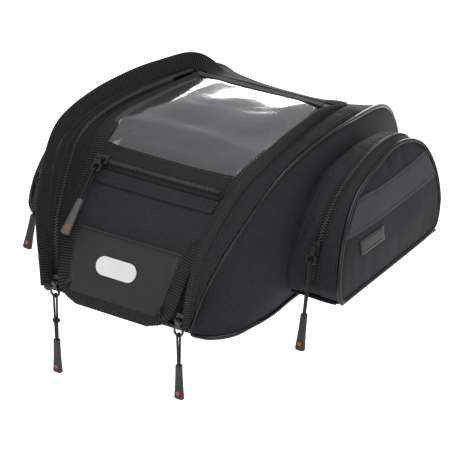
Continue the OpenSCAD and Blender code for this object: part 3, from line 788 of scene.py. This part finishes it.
# wall behind the lid's tongue, rear wall, base
x, z = np.meshgrid(np.linspace(56, -56, 30), np.linspace(4.4, 31, 10), indexing="ij")
g = np.stack([x, np.full_like(x, -157.0), z], -1)
finish_piece(shell_mesh("front_wall_cloth", rumple(g[::-1], 0.4, 30, 3), 3, NYLON), "bag",
             ["front_wall"])

seam = curve(SEAM, REAR + 0.12, LAST, 60)
g = panel(seam, flip(seam), 1.2, 1.2, 44, -6)
g = rumple(billow("rear", g, -0.5, 0.004, 3.0), 1.0, 70, 8)
ob = finish_piece(shell_mesh("rear_cloth", g, 3, NYLON), "bag", ["rear_wall"])
rear_top = g[0]
n = normals(g)
for label, k in (("right", 2), ("left", 42)):
    stitches("rear_stitch_" + label, g[2:, k], n[2:, k], "bag")
stitches("rear_stitch_low", g[54], n[54], "bag")

BASE_COLS, BASE_INSET = 70, 1.2
MAGNET_X, MAGNET_Y, MAGNET_R = 52, 90, 27  # rings that show where the magnets are sealed in
steps = np.linspace(0.0, LAST, 90)
right, left_edge = at(base_line(1), steps), at(base_line(-1), steps)
rows = []
for r, l in zip(right, left_edge):
    w = np.linspace(0, 1, BASE_COLS)
    share = 0.995 if r[1] > 0 else 0.97  # up to the rear wall, and short of the front pulls
    rows.append(np.stack([(r[0] - BASE_INSET) * (1 - w) - (l[0] - BASE_INSET) * w,
                          np.full(BASE_COLS, r[1] * share), np.zeros(BASE_COLS)], 1))
g = np.stack(rows)
dent = np.zeros(g.shape[:2])
for mx in (-MAGNET_X, MAGNET_X):
    for my in (-MAGNET_Y, MAGNET_Y):
        r = np.hypot(g[..., 0] - mx, g[..., 1] - my)
        dent += 0.9 * np.exp(-((r - MAGNET_R) / 1.6) ** 2)
inset = np.minimum(np.abs(g[..., 0] - right[:, None, 0]), np.abs(g[..., 0] + left_edge[:, None, 0]))
dent += 0.8 * np.exp(-((inset - 9) / 1.5) ** 2)
g[..., 2] += dent
finish_piece(shell_mesh("base_pad", outward(g, (0, 0, 60)), 4, BASE), "bag",
             ["base_panel", "base_magnets"])

# ---------- pockets ----------
PC, POCKET_X, POCKET_CURVE, ARC_R = np.array([14.0, 18.0]), 160.0, 0.0016, 91.0
ARC_START = 174


def front_arc(radius):
    """Points (y, z) of a pocket's front arc; radius is a function of the angle from its start."""
    return [[PC[0] + radius(ARC_START - a) * math.cos(math.radians(a)),
             PC[1] + radius(ARC_START - a) * math.sin(math.radians(a))]
            for a in range(ARC_START, 103, -14)]


OUTER = [[-72, 15]] + front_arc(lambda turn: ARC_R - turn / 10) + \
    [[15, 104], [37, 108], [56, 108], [74, 103], [89, 92], [98, 70], [99, 42], [91, 16]]
INNER = [[-71, 14]] + front_arc(lambda turn: ARC_R + 3 - turn / 8) + \
    [[14, 102], [35, 103], [56, 102], [73, 98], [86, 87], [92, 66], [94, 42], [89, 15]]
POCKET_LAST = len(OUTER) - 1
ZIPS = {"right": (133, 0), "left": (153.5, 12)}
ZIP_S, GUSSET_S, TAPE_S = 0.6, 0.48, 0.73
POCKET_MID = (120, 14, 50)  # inside the pocket
STRIP_LOW, STRIP_HIGH, POCKET_FLOOR = 66, 90, 14.2


def face_x(z):
    return POCKET_X - POCKET_CURVE * np.asarray(z, float) ** 2


def body_x(z):
    return 111 - 0.045 * np.asarray(z, float)


FACE_EDGE = [[float(face_x(z)), y, z] for y, z in OUTER]
SEWN_EDGE = [[float(body_x(z)), y, z] for y, z in INNER]


def zip_line(tag):
    x0, lean = ZIPS[tag][0], math.radians(ZIPS[tag][1])
    high = [[14, 112], [36, 114], [57, 112], [75, 105], [88, 90], [94, 66], [96, 42], [90, 16]]
    arc = front_arc(lambda turn: ARC_R)
    return [[x0, -72, 15]] + [[x0 - (z - PC[1]) * math.sin(lean), y,
                               PC[1] + (z - PC[1]) * math.cos(lean)] for y, z in arc + high]


def pocket_line(tag, s, start, end, steps):
    u = np.linspace(start, end, steps + 1)
    a, b, z = at(SEWN_EDGE, u), at(FACE_EDGE, u), at(zip_line(tag), u)
    m = (z - a * (1 - ZIP_S) ** 2 - b * ZIP_S ** 2) / (2 * ZIP_S * (1 - ZIP_S))
    return a * (1 - s) ** 2 + m * 2 * s * (1 - s) + b * s ** 2


for tag, sign in SIDES:
    left = sign < 0
    seed = 41 + sign
    bag_s, edge_s = np.linspace(0, GUSSET_S, 15), np.linspace(TAPE_S, 1, 9)
    g = outward(np.stack([pocket_line(tag, s, 0, POCKET_LAST, RUN) for s in bag_s], 1), POCKET_MID)
    swell = np.sin(np.linspace(0, math.pi, RUN + 1))[:, None] * np.sin(bag_s / GUSSET_S * math.pi)
    g = lifted(g, swell * 1.6)
    g = rumple(billow("pocket_gusset", g, 1.0, 0.012, 3.0), 0.9, 34, seed)
    ob = finish_piece(shell_mesh("pocket_gusset_cloth_" + tag, g, 2, NYLON, left), "bag",
                      ["pocket_gusset_" + tag])
    n = normals(g)
    stitches("pocket_gusset_stitch_" + tag, g[:, 6], n[:, 6], "bag", left)
    stitches("pocket_gusset_hem_" + tag, g[:, 13], n[:, 13], "bag", left, 3.0, 0.6)
    stitches("pocket_gusset_foot_" + tag, g[-7, :7], n[-7, :7], "bag", left)

    # zip: the inboard half of tape and coil is the bag's, the outboard half the door's
    low, high = 0.3, POCKET_LAST - 0.3
    shares = np.linspace(GUSSET_S - 0.012, TAPE_S + 0.012, 13)
    g = outward(np.stack([pocket_line(tag, s, low, high, RUN) for s in shares], 1), POCKET_MID)
    mid = int(np.argmin(np.abs(shares - ZIP_S)))
    n = normals(g)
    finish_piece(shell_mesh("pocket_tape_bag_" + tag, g[:, :mid + 1], THIN, TAPE, left), "bag",
                 ["pocket_zip_" + tag])
    finish_piece(shell_mesh("pocket_tape_door_" + tag, g[:, mid:], THIN, TAPE, left),
                 "pocket_door_" + tag)
    teeth("pocket_teeth_bag_" + tag, g[6:-8, mid], n[6:-8, mid], -1, "bag", mirror=left)
    teeth("pocket_teeth_door_" + tag, g[6:-8, mid], n[6:-8, mid], 1, "pocket_door_" + tag,
          mirror=left)
    for label, k, body in (("bag", 2, "bag"), ("door", 10, "pocket_door_" + tag)):
        stitches(f"pocket_tape_stitch_{label}_{tag}", g[:, k], n[:, k], body, left, 2.8, 0.55)

    # door: gusset edge, piping, face
    g = np.stack([pocket_line(tag, s, 0.15, POCKET_LAST - 0.15, RUN) for s in edge_s], 1)
    g = outward(g, POCKET_MID)
    g = rumple(g, 0.4, 30, seed + 3)
    finish_piece(shell_mesh("pocket_edge_cloth_" + tag, g, 1.6, NYLON, left),
                 "pocket_door_" + tag, ["pocket_edge_" + tag])
    arc = curve(FACE_EDGE, 0, POCKET_LAST, 150)
    w = np.linspace(0, 1, 42)[1:-1, None]
    line = np.concatenate([arc, arc[-1] * (1 - w) + arc[0] * w])
    finish_piece(tube("pocket_cord_piping_" + tag, eased(line, 30, (10, 150, 180)), PIPE, PIPING,
                      14, True, left), "pocket_door_" + tag, ["pocket_piping_" + tag])
    front, rear = curve(FACE_EDGE, 0.02, 7.45, 70), curve(FACE_EDGE, POCKET_LAST - 0.02, 7.55, 70)
    g = panel(rear, front, 1.0, 1.0, 40, 0)
    g[..., 0] = face_x(g[..., 2])
    i, j = np.linspace(0, 1, 71)[:, None], np.linspace(0, 1, 41)[None]
    g[..., 0] += 2.6 * np.clip(4 * i * (1 - i), 0, 1) ** 0.6 * np.clip(4 * j * (1 - j), 0, 1)
    g = rumple(billow("pocket_face", g, 0.6, 0.004, 2.0), 0.8, 42, seed + 7)
    ob = finish_piece(shell_mesh("pocket_face_cloth_" + tag, g, 2, NYLON, left),
                      "pocket_door_" + tag, ["pocket_face_" + tag])
    flat = g.reshape(-1, 3)

    def lay(y, z, lift):
        """Points (y, z) laid on the face's cloth."""
        out = np.empty(y.shape + (3,))
        for at_index in np.ndindex(y.shape):
            d = (flat[:, 1] - y[at_index]) ** 2 + (flat[:, 2] - z[at_index]) ** 2
            near = np.argpartition(d, 4)[:4]
            weight = 1 / (d[near] + 0.3)
            out[at_index] = (np.sum(flat[near, 0] * weight) / weight.sum() + lift,
                             y[at_index], z[at_index])
        return out

    share, z = np.meshgrid(np.linspace(0, 1, 60), np.linspace(STRIP_LOW, STRIP_HIGH, 12),
                           indexing="ij")
    climb = (z - STRIP_LOW) / (STRIP_HIGH - STRIP_LOW)
    y = (-58 + 29 * climb) * (1 - share) + (96 - 9 * climb) * share
    band = lay(y, z, 0.9)
    finish_piece(shell_mesh("pocket_band_" + tag, band, 0.9, STRIP, left), "pocket_door_" + tag,
                 ["pocket_strip_" + tag])
    n = normals(band)
    for label, k in (("low", 1), ("high", 10)):
        stitches(f"pocket_band_stitch_{label}_{tag}", band[:, k], n[:, k], "pocket_door_" + tag,
                 left, 3.0, 0.6)
    if not left:
        y, z = np.meshgrid(np.linspace(-42, -5, 20), np.linspace(47, 59, 8), indexing="ij")
        label_grid = lay(y, z, 1.0)
        finish_piece(shell_mesh("pocket_label", label_grid, 0.9, TAG), "pocket_door_right",
                     ["pocket_tag"])
        n = normals(label_grid)
        for label, rows in (("low", label_grid[1:-1, 1]), ("high", label_grid[1:-1, 6])):
            stitches("pocket_label_stitch_" + label, rows, np.tile((1.0, 0, 0), (len(rows), 1)),
                     "pocket_door_right", step=2.2, width=0.5)
    x, y = np.meshgrid(np.linspace(body_x(12) + 1, POCKET_X - 6, 16), np.linspace(-72.5, 91, 40),
                       indexing="ij")
    g = np.stack([x, y, POCKET_FLOOR + 0.4 * np.sin(y / 9) * np.sin(x / 7)], -1)
    finish_piece(shell_mesh("pocket_floor_cloth_" + tag, g, 2, NYLON, left), "bag",
                 ["pocket_floor_" + tag])
    # cloth along the door's foot, curving up a little towards its outer edge
    share, y = np.meshgrid(np.linspace(0, 1, 12), np.linspace(-71.5, 90.5, 40), indexing="ij")
    g = np.stack([POCKET_X - 8 + 7.5 * share, y, POCKET_FLOOR + 1.3 * share ** 2], -1)
    fold_cloth = shell_mesh("pocket_fold_cloth_" + tag, g, 1.4, NYLON, left)
    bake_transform(fold_cloth)


# ---------- lid ----------
SAG, LID_STEPS, LID_ACROSS = 1.6, 150, 60
right = curve(LID, 0, LID_LAST, LID_STEPS)
g = panel(right, flip(right), 0.6, 0.6, LID_ACROSS, 0)
share = np.linspace(0, 1, LID_ACROSS + 1)[None]
u = np.linspace(0, LID_LAST, LID_STEPS + 1)[:, None]
g = lifted(g, -SAG * 4 * share * (1 - share) * np.clip((u - 1) / 3, 0, 1)
           * np.clip((LID_LAST - u) / 1.5, 0.35, 1))
g = rumple(billow("lid", g, 0.35, 0.004, 2.0), 0.7, 55, 77)
lid_surface = g
split = int(LID_STEPS * MAP_ZIP / LID_LAST) + 1
ob = finish_piece(shell_mesh("lid_cloth", g[:split + 1], 2, LID_CLOTH), "lid",
                  ["lid_panel"])
backing = shell_mesh("lid_lining", g[split:], 1.4, BACKING)
finish_piece(backing, "lid", ["lid_backing"])


def on_lid(start, end, steps, inset, across, lift):
    """Grid laid over the lid's cloth between two places, inset from its edges."""
    u = np.linspace(start, end, steps + 1) * LID_STEPS / LID_LAST
    k = np.clip(u.astype(int), 0, LID_STEPS - 1)
    t = (u - k)[:, None, None]
    rows = lid_surface[k] * (1 - t) + lid_surface[k + 1] * t
    width = np.linalg.norm(rows[:, 0] - rows[:, -1], axis=1)
    out = []
    for r, w in zip(rows, width):
        s = np.linspace(inset / w, 1 - inset / w, across + 1) * LID_ACROSS
        q = np.clip(s.astype(int), 0, LID_ACROSS - 1)
        f = (s - q)[:, None]
        out.append(r[q] * (1 - f) + r[q + 1] * f)
    return lifted(np.stack(out), lift)


trim = on_lid(1.45, TRIM_TOP, 50, BINDING - 1, 40, 1.0)
finish_piece(shell_mesh("lid_smooth_trim", trim, THIN, TRIM), "lid", ["lid_trim"])
n = normals(trim)
fold = trim[-1] + n[-1] * 0.25
finish_piece(tube("lid_trim_fold", fold, 0.95, TRIM, 10), "lid")
stitches("lid_trim_stitch", trim[-3], n[-3], "lid", step=3.0, width=0.7)

# woven binding, folded over the lid's edge all round
right = curve(LID, LID_LAST - 0.1, 0.3, 150)
side_n = unit(np.cross(tangents(right[::-1])[::-1], (-1.0, 0, 0)))
rim = np.concatenate([right, flip(right[::-1])])
up = np.concatenate([side_n, flip(side_n[::-1])])
rim, up = eased(rim, 60, (len(right),)), unit(eased(up, 60, (len(right),)))
inward = unit(np.cross(tangents(rim), up))
share = np.linspace(0, 1, 8)
g = rim[:, None] - inward[:, None] * 0.5 + inward[:, None] * (BINDING + 0.5) * share[None, :, None]
g = g + up[:, None] * 1.5
drop = SAG * 4 * (share * BINDING / 150) * (1 - share * BINDING / 150)
g = g - up[:, None] * drop[None, :, None]
g = outward(g, (0, -20, 40))
finish_piece(shell_mesh("lid_edge_binding", g, 1.8, GROSGRAIN), "lid",
             ["lid_binding"])
n = normals(g)
stitches("lid_binding_stitch", g[:, 6], n[:, 6], "lid", step=3.0, width=0.65)

band = on_lid(MAP_ZIP - 0.85, MAP_ZIP - 0.33, 8, BINDING - 1, 40, 1.0)
finish_piece(shell_mesh("lid_folded_band", band, THIN, LID_CLOTH), "lid",
             ["lid_band"])
n = normals(band)
stitches("lid_band_stitch_low", band[1], n[1], "lid", step=3.0, width=0.6)

# map zip: tapes and two rows of coil
tape = on_lid(MAP_ZIP - 0.3, WINDOW - 0.04, 24, BINDING - 1, 40, 1.0)
finish_piece(shell_mesh("map_zip_cloth", tape, THIN, TAPE), "lid", ["map_zip"])
n = normals(tape)
zip_row = int(round(0.3 / (WINDOW - 0.04 - MAP_ZIP + 0.3) * 24))
keep = np.abs(tape[zip_row, :, 0]) <= 62
line, up_line = tape[zip_row][keep] + n[zip_row][keep] * 0.3, n[zip_row][keep]
teeth("map_teeth_low", line, up_line, 1, "lid")
teeth("map_teeth_high", line, up_line, -1, "lid")
for label, k in (("low", zip_row - 4), ("high", zip_row + 5), ("top", 22)):
    stitches("map_tape_stitch_" + label, tape[k], n[k], "lid", step=2.8, width=0.55)

# clear window: soft film tucked under the binding, that lifts in waves towards its rear
steps, across = 80, 60
film = on_lid(WINDOW, LID_LAST - 0.25, steps, BINDING - 1.5, across, 0.9)
i, j = np.linspace(0, 1, steps + 1)[:, None], np.linspace(0, 1, across + 1)[None]
ripple = np.sin(j * 11 + i * 5) * np.sin(i * 7 + 0.6) + 0.7 * np.sin(j * 5.3 - i * 9 + 1)
# the rear of the film is raised, and falls again from its crest
crest = 0.7 + 0.05 * np.sin(j * 6.5 + 0.6) + 0.03 * np.sin(j * 15)
rise = np.where(i < crest, np.clip((i - 0.4) / (crest - 0.4), 0, 1), (1 - i) / (1 - crest))
edge = np.clip(6 * i, 0, 1) * np.clip(8 * j * (1 - j), 0, 1)
height = (0.7 + 0.16 * ripple) * edge \
    + 4.2 * rise ** 1.5 * (3 - 2 * rise) * np.clip(7 * j * (1 - j), 0, 1)
film = film + normals(film) * height[..., None]
window = shell_mesh("window_film", film, 0.5, VINYL)
finish_piece(window, "lid", ["map_window"])

hem = on_lid(LID_LAST - 0.42, LID_LAST, 8, 10.0, 50, 2.6)
finish_piece(shell_mesh("lid_rear_hem", hem, 1.2, GROSGRAIN), "lid")

soften("lid_badge", BADGE, 0.3)  # a plain plate, with no mark on it

# hinge fabric between the rear wall and the lid, arched a little
k = 30
x = np.linspace(1, -1, k)
lid_edge = np.stack([x * 70, np.full(k, 58.0), np.full(k, 118.4)], 1)
wall_x = np.linspace(0, rear_top.shape[0] - 1, k)
wall_edge = np.stack([np.interp(wall_x, np.arange(len(rear_top)), rear_top[:, c])
                      for c in range(3)], 1)
wall_edge = wall_edge + np.array([0, 1.5, -1.2])
w = np.linspace(0, 1, 14)[:, None, None]
g = wall_edge[None] * (1 - w) + lid_edge[None] * w
g[..., 2] += 1.2 * np.sin(math.pi * w[..., 0])
hinge_cloth = shell_mesh("hinge_cloth", outward(g, (0, 60, 60)), 1.2, TAPE)
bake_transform(hinge_cloth)
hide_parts("hinge_tape")

# ---------- floor ----------
bpy.ops.mesh.primitive_plane_add(size=30, location=(0, 0, FLOOR_Z))
floor = bpy.context.active_object
floor.name = "floor"
paper = Nodes("paper", grey(0.93), 0.9, Emission_Color=(1, 1, 1, 1), Emission_Strength=0.35)
floor.data.materials.append(paper.mat)
